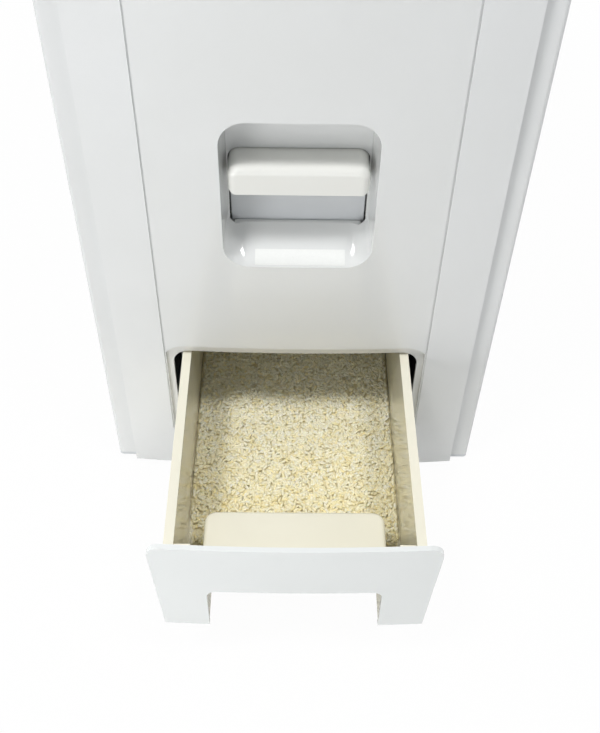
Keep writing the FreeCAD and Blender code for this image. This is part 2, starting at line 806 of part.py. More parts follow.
def make_lid_seal():
    z0 = lid_z - seal_thickness
    outer = opening_prism(lid_overlap - lid_wall, z0, lid_z)
    return outer.cut(opening_prism(lid_overlap - lid_wall - seal_width, z0 - 1, lid_z + 1))


# ---- lever ----
def spring_y():
    return crown_y + carriage_front + 8.0


def make_press_bar():
    y0 = crown_y + bar_front_gap
    y1 = crown_y + carriage_front
    half = bar_width / 2
    outline = [(-half, bar_bottom, bar_low_corner_r), (half, bar_bottom, bar_low_corner_r),
               (half, bar_top, bar_corner_r), (-half, bar_top, bar_corner_r)]
    bar = front_prism(outline, y0, y1)
    face_edges = edges_where(bar, lambda e: e.BoundBox.YMax < y0 + 0.01)
    bar = bar.makeFillet(bar_edge_r, face_edges)
    # the lower front edge stays crisp
    skirt = plan_prism(-half, half, y0, y1, bar_bottom, bar_bottom + bar_height / 3,
                       bar_edge_r, 0.0)
    bar = bar.fuse(skirt.common(front_prism(outline, y0, y1)))
    for x in (-1, 1):
        bar = bar.cut(Part.makeCylinder(screw_shank_r + own_fit, small_screw_length,
                                        V(x * 22.0, y1 + 0.01, bar_bottom + bar_height / 2),
                                        V(0, -1, 0)))
    return bar


def rack_teeth(x0, x1, z0, z1):
    pitch = math.pi * gear_module
    slope = math.tan(math.radians(20))
    add, ded = gear_module, 1.25 * gear_module
    half = (pitch / 2 - gear_play) / 2
    teeth = []
    first = math.ceil((z0 + half + ded * slope - drum_z) / pitch)
    last = math.floor((z1 - half - ded * slope - drum_z) / pitch)
    for k in range(first, last + 1):
        z = drum_z + k * pitch
        pts = [V(x0, rack_line - ded - 0.2, z - half - ded * slope),
               V(x0, rack_line + add, z - half + add * slope),
               V(x0, rack_line + add, z + half - add * slope),
               V(x0, rack_line - ded - 0.2, z + half + ded * slope)]
        teeth.append(Part.Face(Part.makePolygon(pts + [pts[0]])).extrude(V(x1 - x0, 0, 0)))
    return teeth


def make_carriage():
    y0 = crown_y + carriage_front
    y1 = crown_y + carriage_back
    body = box(-plate_half, plate_half, y0, y1, crossbar_bottom, bar_top + carriage_cover)
    reach = spring_x + spring_coil_r + 1.5
    body = body.fuse(box(-reach, reach, y0, y1, crossbar_bottom, plate_bottom))
    x0 = cheek_centre_x - cheek_thickness / 2
    x1 = x0 + cheek_thickness
    rack_low = drum_z - 1.25 * math.pi * gear_module
    rack_high = drum_z + lever_travel + 1.25 * math.pi * gear_module
    cheek = box(x0, x1, y0, rack_line - 1.25 * gear_module, rack_low, plate_bottom)
    for tooth in rack_teeth(x0, x1, rack_low, rack_high):
        cheek = cheek.fuse(tooth)
    tab = box(spring_x - spring_coil_r - 1.5, reach, y0,
              spring_y() + spring_coil_r + 1.5, crossbar_bottom,
              crossbar_bottom + spring_tab_thickness)
    body = body.fuse(both(cheek)).fuse(both(tab))
    for x in (-1, 1):
        body = body.cut(Part.makeCylinder(screw_shank_r + own_fit, carriage_thickness + 2,
                                          V(x * 22.0, y1 + 1, bar_bottom + bar_height / 2),
                                          V(0, -1, 0)))
    return body.removeSplitter()


def make_lever_screws():
    y = crown_y + carriage_back + screw_head_h
    z = bar_bottom + bar_height / 2
    return Part.makeCompound([screw(x * 22.0, y, z, V(0, -1, 0),
                                    carriage_thickness + small_screw_length - 1.0)
                              for x in (-1, 1)])


def make_lever_guides():
    y0 = crown_y + tub_back
    lip_y = crown_y + carriage_back + guide_gap
    z0 = slot_bottom + 4.0
    x0 = plate_half + guide_gap
    x1 = bar_width / 2 + 2 * guide_gap
    z1 = z0 + guide_height
    rail = box(x1, x1 + guide_wall, y0, lip_y + guide_lip_wall, z0, z1)
    rail = rail.fuse(box(x0, x1, y0 + carriage_gap + guide_gap, lip_y + guide_lip_wall, z0, z1))
    rail = rail.fuse(box(x0 - guide_lip, x0, lip_y, lip_y + guide_lip_wall, z0, z1))
    return pair(rail.removeSplitter())


def make_lever_springs():
    z0 = deck_top + spring_end_gap + spring_wire_r
    z1 = crossbar_bottom - spring_end_gap - spring_wire_r
    height = z1 - z0
    coil = Part.makeHelix(height / spring_turns, height, spring_coil_r - spring_wire_r)
    start = V(spring_coil_r - spring_wire_r, 0, 0)
    profile = Part.Wire([Part.makeCircle(spring_wire_r, start, V(0, 1, 0))])
    spring = Part.Wire(coil).makePipeShell([profile], True, True)
    spring.translate(V(spring_x, spring_y(), z0))
    return pair(spring)


# ---- drawer ----
def make_drawer_front():
    top_half = front_width / 2
    low_half = top_half - front_height * math.tan(math.radians(front_draft))
    near = front_y - front_thickness
    far = front_y + 2 * (front_thickness + bow_drop(front_width / 2))
    slab = bowed_slab(-top_half - skin, top_half + skin, 0.0, front_thickness,
                      front_bottom - skin, front_top + skin, front_y)
    outline = front_prism([(-low_half, front_bottom, 0), (low_half, front_bottom, 0),
                           (top_half, front_top, front_corner_r_top),
                           (-top_half, front_top, front_corner_r_top)], near, far)
    notch = front_prism([(-notch_width / 2, front_bottom - notch_r, 0),
                         (notch_width / 2, front_bottom - notch_r, 0),
                         (notch_width / 2, front_bottom + notch_height, notch_r),
                         (-notch_width / 2, front_bottom + notch_height, notch_r)],
                        near, far)
    front = slab.common(outline).cut(notch)
    for x, z in drawer_screw_places():
        front = front.cut(Part.makeCylinder(screw_shank_r + own_fit, front_thickness,
                                            V(x, front_y + bow_drop(x) + 1.6, z),
                                            V(0, 1, 0)))
    return front


def drawer_screw_places():
    x = box_inner_width / 2 - 5.0
    return [(s * x, z) for s in (-1, 1) for z in (box_z + drawer_screw_low, box_z + drawer_screw_high)]


def make_drawer_box():
    y0 = front_y + front_thickness / 2
    inner = box_inner_width / 2
    outer = inner + box_wall
    body = plan_prism(-outer, outer, y0, box_back_y, box_z, box_top, 0.0, box_corner_r + box_wall)
    rim = plan_prism(-rim_half, rim_half, y0, box_back_y + rim_width - box_wall,
                     box_top - rim_thickness, box_top, 0.0, box_corner_r + rim_width)
    lip = plan_prism(-rim_half, rim_half, y0, box_back_y + rim_width - box_wall,
                     box_top - rim_lip, box_top, 0.0, box_corner_r + rim_width)
    lip = lip.cut(plan_prism(-rim_half + rim_lip_wall, rim_half - rim_lip_wall, y0 - 1,
                             box_back_y + rim_width - box_wall - rim_lip_wall,
                             box_top - rim_lip - 1, box_top + 1, 0.0,
                             box_corner_r + rim_width - rim_lip_wall))
    body = body.fuse(rim).fuse(lip)
    hollow = plan_prism(-inner, inner, y0 - 10, box_back_y - box_wall, box_z + box_floor,
                        box_top + 1, 0.0, box_corner_r)
    floor_edges = edges_where(hollow, lambda e: e.BoundBox.ZMax < box_z + box_floor + 0.01
                              and e.BoundBox.YMax > y0)
    hollow = hollow.makeFillet(box_corner_r / 2, floor_edges)
    body = body.cut(hollow)
    # flange behind the drawer front, and the finger pocket
    flange = box(-outer, outer, y0, y0 + front_thickness + 7.0, box_z, box_top - rim_thickness)
    flange = flange.cut(box(-inner + 10.0, inner - 10.0, y0 - 1, y0 + front_thickness + 8.0,
                            box_z + 10.0, box_top + 1))
    body = body.fuse(flange)
    body = body.fuse(pocket_block(0.0, box_z))
    body = body.cut(pocket_block(pocket_wall, box_z - 1))
    # follow the bowed back of the drawer front
    body = body.cut(bowed_slab(-rim_half - 5, rim_half + 5, -10 * front_thickness, front_thickness,
                               box_z - 5, box_top + 5, front_y))
    for x, z in drawer_screw_places():
        y = box_front_y + bow_drop(x) + drawer_screw_seat
        body = body.cut(Part.makeCylinder(screw_shank_r + own_fit, 3 * drawer_screw_length,
                                          V(x, y - 2 * drawer_screw_length, z), V(0, 1, 0)))
        body = body.cut(Part.makeCylinder(screw_head_r + own_fit, 3 * drawer_screw_length,
                                          V(x, y, z), V(0, 1, 0)))
    return body.removeSplitter()


def pocket_block(inset, z0):
    half = notch_width / 2 + pocket_side_gap + pocket_wall - inset
    y0 = front_y
    y1 = front_y + pocket_depth - inset
    z1 = front_bottom + notch_height + pocket_side_gap + pocket_wall - inset
    r = pocket_corner_r - inset
    block = plan_prism(-half, half, y0, y1, z0, z1, 0.0, r)
    top_edges = edges_where(block, lambda e: e.BoundBox.ZMin > z1 - 0.01
                            and e.BoundBox.YMax > y0 + 0.01)
    return block.makeFillet(max(3.0 - inset, 0.4), top_edges)


def make_drawer_screws():
    screws = []
    for x, z in drawer_screw_places():
        y = box_front_y + bow_drop(x) + drawer_screw_seat + screw_head_h
        screws.append(screw(x, y, z, V(0, -1, 0), drawer_screw_length))
    return Part.makeCompound(screws)


def make_drawer_glides():
    strip = box(glide_x - glide_width / 2, glide_x + glide_width / 2, box_front_y + glide_end_gap,
                box_back_y - glide_end_gap, glide_z, box_z)
    return pair(strip)


parts = {
    "feet": make_feet,
    "base_plate": make_base,
    "base_screws": make_base_screws,
    "casing": make_casing,
    "front_frame": make_front_frame,
    "centre_panel": make_centre_panel,
    "opening_trim": make_opening_trim,
    "label": make_label,
    "drawer_bay": make_drawer_bay,
    "hold_down_rails": make_hold_down_rails,
    "deck": make_deck,
    "drop_chute": make_drop_chute,
    "meter_lower": make_meter_lower,
    "meter_upper": make_meter_upper,
    "meter_screws": make_meter_screws,
    "throat_gasket": make_throat_gasket,
    "hopper": make_hopper,
    "top_collar": make_collar,
    "hinge_pins": make_hinge_pins,
    "lever_guides": make_lever_guides,
    "press_bar": make_press_bar,
    "lever_carriage": make_carriage,
    "lever_screws": make_lever_screws,
    "lever_springs": make_lever_springs,
    "metering_drum": make_drum,
    "drum_shaft": make_shaft,
    "drum_pinions": make_drum_pinions,
    "lid": make_lid,
    "lid_seal": make_lid_seal,
    "drawer_front": make_drawer_front,
    "drawer_box": make_drawer_box,
    "drawer_screws": make_drawer_screws,
    "drawer_glides": make_drawer_glides,
}

for name, make in parts.items():
    make().exportStep("parts/" + name + ".step")
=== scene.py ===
import json
import math
import random

import bmesh
import bpy
from mathutils import Matrix, Vector, noise


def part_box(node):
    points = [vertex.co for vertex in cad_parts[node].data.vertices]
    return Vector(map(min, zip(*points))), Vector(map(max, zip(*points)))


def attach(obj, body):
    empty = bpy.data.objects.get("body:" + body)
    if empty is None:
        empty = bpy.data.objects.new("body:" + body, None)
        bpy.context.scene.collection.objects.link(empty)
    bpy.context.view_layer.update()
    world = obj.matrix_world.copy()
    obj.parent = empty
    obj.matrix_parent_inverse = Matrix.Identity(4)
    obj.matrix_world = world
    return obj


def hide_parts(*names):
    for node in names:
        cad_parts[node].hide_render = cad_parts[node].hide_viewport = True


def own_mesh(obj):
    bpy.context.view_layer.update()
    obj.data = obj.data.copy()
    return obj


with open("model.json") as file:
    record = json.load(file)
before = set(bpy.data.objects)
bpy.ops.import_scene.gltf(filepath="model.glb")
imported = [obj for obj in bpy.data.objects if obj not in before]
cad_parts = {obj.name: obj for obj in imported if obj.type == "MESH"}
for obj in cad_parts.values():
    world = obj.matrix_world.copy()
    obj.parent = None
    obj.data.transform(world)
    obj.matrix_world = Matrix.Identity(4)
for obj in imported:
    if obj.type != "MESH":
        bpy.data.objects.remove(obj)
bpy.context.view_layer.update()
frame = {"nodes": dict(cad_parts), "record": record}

# Metres, in the frame of the CAD: X right, Y from front to back, Z up.
# ---- inside of the drawer box, worked out from its outer box at rest ----
BOX_WALL = 0.0026
BOX_FLOOR = 0.0025
BOX_RIM = 0.00355            # how far the turned-over rim stands out from the wall
BOX_LOW, BOX_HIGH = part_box("drawer_box")
TRAY_HALF = round(BOX_HIGH[0] - BOX_RIM - BOX_WALL, 5)
TRAY_BACK = round(BOX_HIGH[1] - BOX_RIM - BOX_WALL, 5)
TRAY_FLOOR = round(BOX_LOW[2] + BOX_FLOOR, 5)
TRAY_CORNER = 0.008          # radius of the upright back corners
POCKET_HALF = 0.0596         # finger pocket, outer half width

# ---- the layer of rice ----
RICE_FRONT = -0.2953         # just inside the back wall of the finger pocket
RICE_BACK = TRAY_BACK - 0.0006
RICE_LEVEL = 0.0562
WAVE_HIGH = 0.0020           # long, low swells of the surface
WAVES_PER_METRE = 28.0
WAVE_SLICE = 3.0             # which slice of the noise the swells are cut from
RIPPLE_HIGH = 0.0009         # short ripples on top of them
RIPPLES_PER_METRE = 90.0
RIPPLE_SLICE = 7.0
THINNEST_RICE = 0.0004
TAPER_LEFT = -0.2775         # middle of the slope where it runs out beside the pocket
TAPER_RIGHT = -0.292
TAPER_HALF = 0.016           # half the length of that slope
TAPER_WANDER = 0.004
TAPER_DROP = RICE_LEVEL - TRAY_FLOOR + 0.002
SIDE_REACH = 0.014           # the slope starts this far inside the pocket's half width
SIDE_FADE = 0.012
BED_CELLS = (72, 92)
BED_BELOW = 0.0012           # the bed lies this far under the layer's surface
HAIR_GAP = 0.0001            # from the bed to the walls and the floor

# ---- loose grains ----
GRAIN_LONG = 0.0052
GRAIN_WIDE = 0.0022
GRAIN_THICK = 0.0019
LENGTH_SPREAD = (0.66, 1.06)
GIRTH_SPREAD = (0.9, 1.1)
GRAIN_FACETS = 6
BLUNTNESS = 1.18             # widens the spindle between its middle and its tips
MIDDLE_RING = 0.9            # squared radius that only the middle ring is past
GRAIN_LAYERS = (             # grains, lift from the layer's surface, spread of tilt in degrees
    (3200, -0.0009, 8.0),
    (4400, -0.0002, 12.0),
    (1600, 0.0005, 24.0),
)
LIFT_JITTER = 0.0006
GRAINS_PER_HEAP = 2000
GRAIN_SEED = 41
END_CLEARANCE = 0.002        # from a grain's middle to the walls
SIDE_CLEARANCE = 0.0015
LONE_GRAINS_BELOW = 0.0012   # where the layer is thinner than this, few grains lie
LONE_GRAIN_SHARE = 0.25
ALONG_SIDE_WITHIN = 0.0035   # nearer to a wall than this, a grain lies along it
ALONG_SIDE_TURN = 0.25
ALONG_END_WITHIN = 0.004
ALONG_END_TURN = 0.3
HUSK_AT_BACK = 0.06          # how yellow the grains are at the back, from 0 to 1, before the painted warm light
PAINTED_WARM_LIGHT_GAIN = 0.56             # painted warm light: how much yellower the grains are painted towards the front
HUSK_SPREAD = 0.26

# ---- return springs of the lever ----
SPRING_WIRE = 0.0006         # radius of the wire
WIRE_FACETS = 8
SPRING_RADIUS = 0.0044       # to the middle of the wire
SPRING_TURNS = 9
SPRING_STEPS = 216

# ---- camera ----
FOCAL_PX = 994.0
IMAGE_HIGH_PX = 733.0
SENSOR = 36.0
NEAREST = 0.01
CAMERA_AT = (-0.00608, -0.66430, 0.65040)
CAMERA_PITCH = 0.83937
CAMERA_YAW = 0.01963
CAMERA_ROLL = 0.02388

# ---- floor and background ----
FLOOR_HALF = 6.0
FLOOR_DROP = 0.0002          # keeps it clear of the feet
FLOOR_GLOW = 0.965           # share of plain white in what the camera sees of the floor
SKY_STRENGTH = 0.26


# ------------------------------------------------------------- node helpers
def new_material(name):
    material = bpy.data.materials.new(name)
    material.use_nodes = True
    tree = material.node_tree
    return material, tree, tree.nodes["Principled BSDF"]


def noise_node(tree, scale, detail=3.0, rough=0.5, stretch=None):
    coord = tree.nodes.new("ShaderNodeTexCoord")
    tex = tree.nodes.new("ShaderNodeTexNoise")
    tex.inputs["Scale"].default_value = scale
    tex.inputs["Detail"].default_value = detail
    tex.inputs["Roughness"].default_value = rough
    if stretch is None:
        tree.links.new(coord.outputs["Object"], tex.inputs["Vector"])
    else:
        mapping = tree.nodes.new("ShaderNodeMapping")
        mapping.inputs["Scale"].default_value = stretch
        tree.links.new(coord.outputs["Object"], mapping.inputs["Vector"])
        tree.links.new(mapping.outputs["Vector"], tex.inputs["Vector"])
    return tex.outputs["Fac"]


def spread(tree, value, low=0.3, high=0.7, out_low=0.0, out_high=1.0):
    """Stretches the middle of a noise, from low to high, over the range that is wanted."""
    node = tree.nodes.new("ShaderNodeMapRange")
    for socket, number in zip(("From Min", "From Max", "To Min", "To Max"),
                              (low, high, out_low, out_high)):
        node.inputs[socket].default_value = number
    tree.links.new(value, node.inputs["Value"])
    return node.outputs["Result"]


def paint(tree, bsdf, factor, first, second):
    """Base colour that goes from the first colour to the second with the factor."""
    node = tree.nodes.new("ShaderNodeMix")
    node.data_type = "RGBA"
    node.inputs["A"].default_value = (*first, 1.0)
    node.inputs["B"].default_value = (*second, 1.0)
    tree.links.new(factor, node.inputs["Factor"])
    tree.links.new(node.outputs["Result"], bsdf.inputs["Base Color"])


def roughen(tree, bsdf, value, smoothest, roughest, high=0.7):
    tree.links.new(spread(tree, value, high=high, out_low=smoothest, out_high=roughest),
                   bsdf.inputs["Roughness"])


def bump(tree, bsdf, height, strength, distance):
    node = tree.nodes.new("ShaderNodeBump")
    node.inputs["Strength"].default_value = strength
    node.inputs["Distance"].default_value = distance
    tree.links.new(height, node.inputs["Height"])
    tree.links.new(node.outputs["Normal"], bsdf.inputs["Normal"])


# ---------------------------------------------------------------- materials
def polished_abs(name, colour, shade, gloss=0.07, coat=0.2):
    """Injection moulded white plastic: faint tone drift, orange peel, handling marks."""
    material, tree, bsdf = new_material(name)
    drift = spread(tree, noise_node(tree, scale=9.0, detail=2.0), low=0.35, high=0.65)
    paint(tree, bsdf, drift, colour, shade)
    marks = noise_node(tree, scale=38.0, detail=5.0, rough=0.6)
    roughen(tree, bsdf, marks, smoothest=gloss, roughest=gloss + 0.06, high=0.75)
    bsdf.inputs["IOR"].default_value = 1.5
    bsdf.inputs["Coat Weight"].default_value = coat
    bsdf.inputs["Coat Roughness"].default_value = 0.04
    peel = noise_node(tree, scale=240.0, detail=2.0)
    bump(tree, bsdf, peel, strength=0.06, distance=0.0004)
    return material


def satin_plastic(name, colour, shade, rough=0.42):
    """Inner mouldings with a fine spark-eroded grain."""
    material, tree, bsdf = new_material(name)
    drift = spread(tree, noise_node(tree, scale=22.0), low=0.35, high=0.65)
    paint(tree, bsdf, drift, colour, shade)
    scuffs = noise_node(tree, scale=60.0, detail=4.0)
    roughen(tree, bsdf, scuffs, smoothest=rough - 0.06, roughest=rough + 0.08)
    erosion = noise_node(tree, scale=1500.0, detail=2.0)
    bump(tree, bsdf, erosion, strength=0.25, distance=0.0001)
    return material


def soft_rubber(name, colour, shade):
    """Dull rubber with dust in patches."""
    material, tree, bsdf = new_material(name)
    dust = noise_node(tree, scale=80.0, detail=5.0, rough=0.7)
    paint(tree, bsdf, spread(tree, dust, low=0.45), colour, shade)
    roughen(tree, bsdf, noise_node(tree, scale=120.0), smoothest=0.7, roughest=0.9)
    bump(tree, bsdf, noise_node(tree, scale=900.0), strength=0.3, distance=0.0002)
    return material


def drawn_steel(name):
    """Plated steel with fine marks that are shorter along Z than across."""
    material, tree, bsdf = new_material(name)
    marks = noise_node(tree, scale=700.0, rough=0.6, stretch=(1.0, 1.0, 6.0))
    paint(tree, bsdf, spread(tree, marks), (0.60, 0.61, 0.62), (0.72, 0.72, 0.71))
    bsdf.inputs["Metallic"].default_value = 1.0
    roughen(tree, bsdf, marks, smoothest=0.22, roughest=0.38)
    bump(tree, bsdf, marks, strength=0.1, distance=0.0001)
    return material


def sticker_stock(name):
    """Coated paper: matt, with a trace of fibre."""
    material, tree, bsdf = new_material(name)
    fibre = noise_node(tree, scale=600.0, detail=4.0, rough=0.7, stretch=(1.0, 1.0, 0.4))
    paint(tree, bsdf, spread(tree, fibre), (0.85, 0.86, 0.84), (0.82, 0.83, 0.81))
    roughen(tree, bsdf, noise_node(tree, scale=90.0), smoothest=0.38, roughest=0.5)
    coating = noise_node(tree, scale=1200.0, detail=2.0)
    bump(tree, bsdf, coating, strength=0.08, distance=0.0001)
    return material


def rice_grain_skin(name):
    """Milled long-grain rice, chalky to yellow: every grain carries its own tone, with painted
    warm light that makes the grains yellower towards the front.
    """
    material, tree, bsdf = new_material(name)
    tone = tree.nodes.new("ShaderNodeAttribute")
    tone.attribute_name = "tone"
    paint(tree, bsdf, tone.outputs["Fac"], (0.985, 0.955, 0.79), (0.985, 0.865, 0.50))
    roughen(tree, bsdf, noise_node(tree, scale=900.0), smoothest=0.18, roughest=0.34)
    bsdf.inputs["Subsurface Weight"].default_value = 0.1
    bsdf.inputs["Subsurface Radius"].default_value = (0.0010, 0.0008, 0.0005)
    bsdf.inputs["Subsurface Scale"].default_value = 1.0
    chalk = noise_node(tree, scale=1800.0, detail=2.0)
    bump(tree, bsdf, chalk, strength=0.15, distance=0.0001)
    return material


def rice_bed_skin(name):
    """The rice that shows between the loose grains."""
    material, tree, bsdf = new_material(name)
    grains = noise_node(tree, scale=420.0, detail=4.0, rough=0.7, stretch=(1.0, 0.6, 1.0))
    paint(tree, bsdf, spread(tree, grains, low=0.35, high=0.65),
          (0.84, 0.75, 0.47), (0.95, 0.88, 0.62))
    roughen(tree, bsdf, grains, smoothest=0.5, roughest=0.7)
    bump(tree, bsdf, grains, strength=0.8, distance=0.0015)
    return material


# One finish for each material slot of the record: most drift between two near colours.
FINISHES = {
    "casing_white": polished_abs("casing_polish", (0.79, 0.80, 0.80), (0.77, 0.78, 0.775)),
    "frame_white": polished_abs("front_frame_polish", (0.80, 0.81, 0.81), (0.78, 0.79, 0.785)),
    "panel_white": polished_abs("centre_panel_polish", (0.79, 0.80, 0.795), (0.77, 0.78, 0.77)),
    "trim_white": polished_abs("arch_rim_polish", (0.78, 0.78, 0.75), (0.76, 0.76, 0.73)),
    "lever_white": polished_abs("press_bar_polish", (0.84, 0.84, 0.80), (0.82, 0.82, 0.78),
                                gloss=0.06, coat=0.3),
    "lid_white": polished_abs("lid_polish", (0.80, 0.81, 0.81), (0.78, 0.79, 0.785)),
    "drawer_front_white": polished_abs("drawer_front_polish", (0.83, 0.85, 0.84),
                                       (0.81, 0.83, 0.82)),
    "drawer_box_white": polished_abs("drawer_box_polish", (0.875, 0.84, 0.705),
                                     (0.865, 0.83, 0.69), gloss=0.08, coat=0.3),
    "inner_plastic": satin_plastic("inner_moulding", (0.66, 0.68, 0.70), (0.62, 0.64, 0.66)),
    "hopper_plastic": satin_plastic("hopper_moulding", (0.76, 0.77, 0.76), (0.73, 0.74, 0.73),
                                    rough=0.3),
    "meter_plastic": satin_plastic("meter_moulding", (0.50, 0.53, 0.56), (0.46, 0.49, 0.52)),
    "drum_plastic": satin_plastic("drum_moulding", (0.34, 0.38, 0.43), (0.30, 0.34, 0.39)),
    "glide_plastic": satin_plastic("slippery_strip", (0.80, 0.80, 0.76), (0.76, 0.76, 0.72),
                                   rough=0.35),
    # The guides are painted near black as painted shade, so that the gap beside the lever plate
    # looks dark.
    "guide_grey": satin_plastic("guide_dark_as_painted_shade", (0.034, 0.034, 0.036), (0.045, 0.045, 0.046),
                                rough=0.36),
    "label_white": sticker_stock("bare_label"),
    "rubber_grey": soft_rubber("foot_rubber", (0.035, 0.035, 0.037), (0.09, 0.09, 0.09)),
    "seal_white": soft_rubber("seal_rubber", (0.62, 0.62, 0.60), (0.55, 0.55, 0.52)),
    "steel": drawn_steel("zinc_plated_steel"),
}


def finish_the_nodes():
    slot_of_node = {row["node"]: row["material_slot"] for row in frame["record"]["subparts"]}
    for node, obj in frame["nodes"].items():
        for place in obj.material_slots:
            place.material = FINISHES[slot_of_node[node]]


def piece_from(bm, name, skin, body):
    """Turns a finished bmesh into a smooth piece that rides on the body."""
    mesh = bpy.data.meshes.new(name)
    bm.to_mesh(mesh)
    bm.free()
    mesh.materials.append(skin)
    for polygon in mesh.polygons:
        polygon.use_smooth = True
    obj = bpy.data.objects.new(name, mesh)
    bpy.context.scene.collection.objects.link(obj)
    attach(obj, body)
    return obj


# ----------------------------------------------------------- return springs
def make_return_springs(skin):
    """Coils of wire from the bottom to the top of the lever_springs part; they ride on the
    lever.
    """
    low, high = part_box("lever_springs")
    foot, head = low[2] + SPRING_WIRE, high[2] - SPRING_WIRE
    middle_x = high[0] - SPRING_RADIUS - SPRING_WIRE
    middle_y = (low[1] + high[1]) / 2
    bm = bmesh.new()
    for side in (1, -1):
        start = Matrix.Translation((side * (middle_x + SPRING_RADIUS), middle_y, foot))
        ring = bmesh.ops.create_circle(bm, cap_ends=True, segments=WIRE_FACETS,
                                       radius=SPRING_WIRE,
                                       matrix=start @ Matrix.Rotation(math.pi / 2, 4, "X"))
        wire_end = ring["verts"][0].link_faces[0]
        bmesh.ops.spin(bm, geom=list(wire_end.verts) + list(wire_end.edges) + [wire_end],
                       cent=(side * middle_x, middle_y, foot), axis=(0.0, 0.0, 1.0),
                       dvec=(0.0, 0.0, (head - foot) / SPRING_STEPS),
                       angle=side * 2.0 * math.pi * SPRING_TURNS, steps=SPRING_STEPS,
                       use_merge=False)
    bmesh.ops.recalc_face_normals(bm, faces=bm.faces[:])
    springs = piece_from(bm, "return_springs", skin, "lever")
    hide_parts("lever_springs")
    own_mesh(springs)


# --------------------------------------------------------------------- rice
def rice_top(x, y):
    """Height of the layer's surface; it thins out beside the finger pocket."""
    wave = noise.noise(Vector((x * WAVES_PER_METRE, y * WAVES_PER_METRE, WAVE_SLICE)))
    ripple = noise.noise(Vector((x * RIPPLES_PER_METRE, y * RIPPLES_PER_METRE, RIPPLE_SLICE)))
    top = RICE_LEVEL + WAVE_HIGH * wave + RIPPLE_HIGH * ripple
    taper = TAPER_LEFT if x < 0 else TAPER_RIGHT
    beyond = (taper + TAPER_WANDER * wave - y) / TAPER_HALF
    side = min(1.0, max(0.0, (abs(x) - POCKET_HALF + SIDE_REACH) / SIDE_FADE))
    if beyond > -1.0:
        fall = min(1.0, (beyond + 1.0) / 2.0)
        top -= side * fall * TAPER_DROP
    return max(top, TRAY_FLOOR + THINNEST_RICE)


def tray_half_at(y):
    """Inner half width of the drawer box, less in its rounded back corners."""
    into = y - (TRAY_BACK - TRAY_CORNER)
    if into <= 0:
        return TRAY_HALF
    return TRAY_HALF - TRAY_CORNER + math.sqrt(max(TRAY_CORNER ** 2 - into ** 2, 0.0))


def make_rice_bed(skin):
    """The closed body of rice under the loose grains, from wall to wall."""
    bm = bmesh.new()
    bmesh.ops.create_grid(bm, x_segments=BED_CELLS[0], y_segments=BED_CELLS[1], size=1.0)
    for v in bm.verts:
        y = RICE_FRONT + (RICE_BACK - RICE_FRONT) * (v.co.y + 1.0) / 2.0
        v.co.x *= tray_half_at(y) - HAIR_GAP
        v.co.y = y
        v.co.z = rice_top(v.co.x, y) - BED_BELOW
    lower = bmesh.ops.extrude_face_region(bm, geom=bm.faces[:])["geom"]
    for v in lower:
        if isinstance(v, bmesh.types.BMVert):
            v.co.z = TRAY_FLOOR + HAIR_GAP
    bmesh.ops.recalc_face_normals(bm, faces=bm.faces[:])
    piece_from(bm, "rice_bed", skin, "drawer")


def grain_mesh():
    """A blunt spindle, about one unit in radius each way, long along X."""
    bm = bmesh.new()
    bmesh.ops.create_uvsphere(bm, u_segments=GRAIN_FACETS, v_segments=GRAIN_FACETS, radius=1.0,
                              matrix=Matrix.Rotation(math.pi / 2, 4, "Y"))
    for v in bm.verts:
        if v.co.y ** 2 + v.co.z ** 2 < MIDDLE_RING:
            v.co.y *= BLUNTNESS
            v.co.z *= BLUNTNESS
    mesh = bpy.data.meshes.new("one_grain")
    bm.to_mesh(mesh)
    bm.free()
    return mesh


def grain_place(rng, lift, tilt):
    """One grain lying on the layer, turned along the wall where it is near one."""
    while True:
        y = rng.uniform(RICE_FRONT + END_CLEARANCE, TRAY_BACK - END_CLEARANCE)
        half = tray_half_at(y)
        x = rng.uniform(-half + SIDE_CLEARANCE, half - SIDE_CLEARANCE)
        top = rice_top(x, y)
        if top > TRAY_FLOOR + LONE_GRAINS_BELOW or rng.random() < LONE_GRAIN_SHARE:
            break
    at_pocket = y - RICE_FRONT < ALONG_END_WITHIN and abs(x) < POCKET_HALF + END_CLEARANCE
    at_back = TRAY_BACK - y < ALONG_END_WITHIN
    yaw = rng.uniform(0.0, math.pi)
    if half - abs(x) < ALONG_SIDE_WITHIN:
        yaw = math.pi / 2 + rng.uniform(-ALONG_SIDE_TURN, ALONG_SIDE_TURN)
    elif at_pocket or at_back:
        yaw = rng.uniform(-ALONG_END_TURN, ALONG_END_TURN)
    pitch = math.radians(rng.gauss(0.0, tilt))
    z = max(top + lift + rng.uniform(-LIFT_JITTER, LIFT_JITTER), TRAY_FLOOR + GRAIN_THICK / 2)
    return Matrix.Translation((x, y, z)) @ Matrix.Rotation(yaw, 4, "Z") \
        @ Matrix.Rotation(pitch, 4, "Y")


def scatter_grains():
    """Every grain as one matrix of place, turn and size, with its tone, in mixed order; the
    tone is a random husk yellow plus painted warm light that makes grains yellower towards the
    front.
    """
    rng = random.Random(GRAIN_SEED)
    grains = []
    for count, lift, tilt in GRAIN_LAYERS:
        for _ in range(count):
            place = grain_place(rng, lift, tilt)
            size = Matrix.Diagonal((GRAIN_LONG / 2 * rng.uniform(*LENGTH_SPREAD),
                                    GRAIN_WIDE / 2 * rng.uniform(*GIRTH_SPREAD),
                                    GRAIN_THICK / 2 * rng.uniform(*GIRTH_SPREAD), 1.0))
            # painted warm light: the nearer the front a grain lies, the yellower it is painted
            forward = (RICE_BACK - place.translation.y) / (RICE_BACK - RICE_FRONT)
            husk_and_warm_light = rng.gauss(HUSK_AT_BACK + PAINTED_WARM_LIGHT_GAIN * forward, HUSK_SPREAD)
            grains.append((place @ size, min(1.0, max(0.0, husk_and_warm_light))))
    rng.shuffle(grains)
    return grains


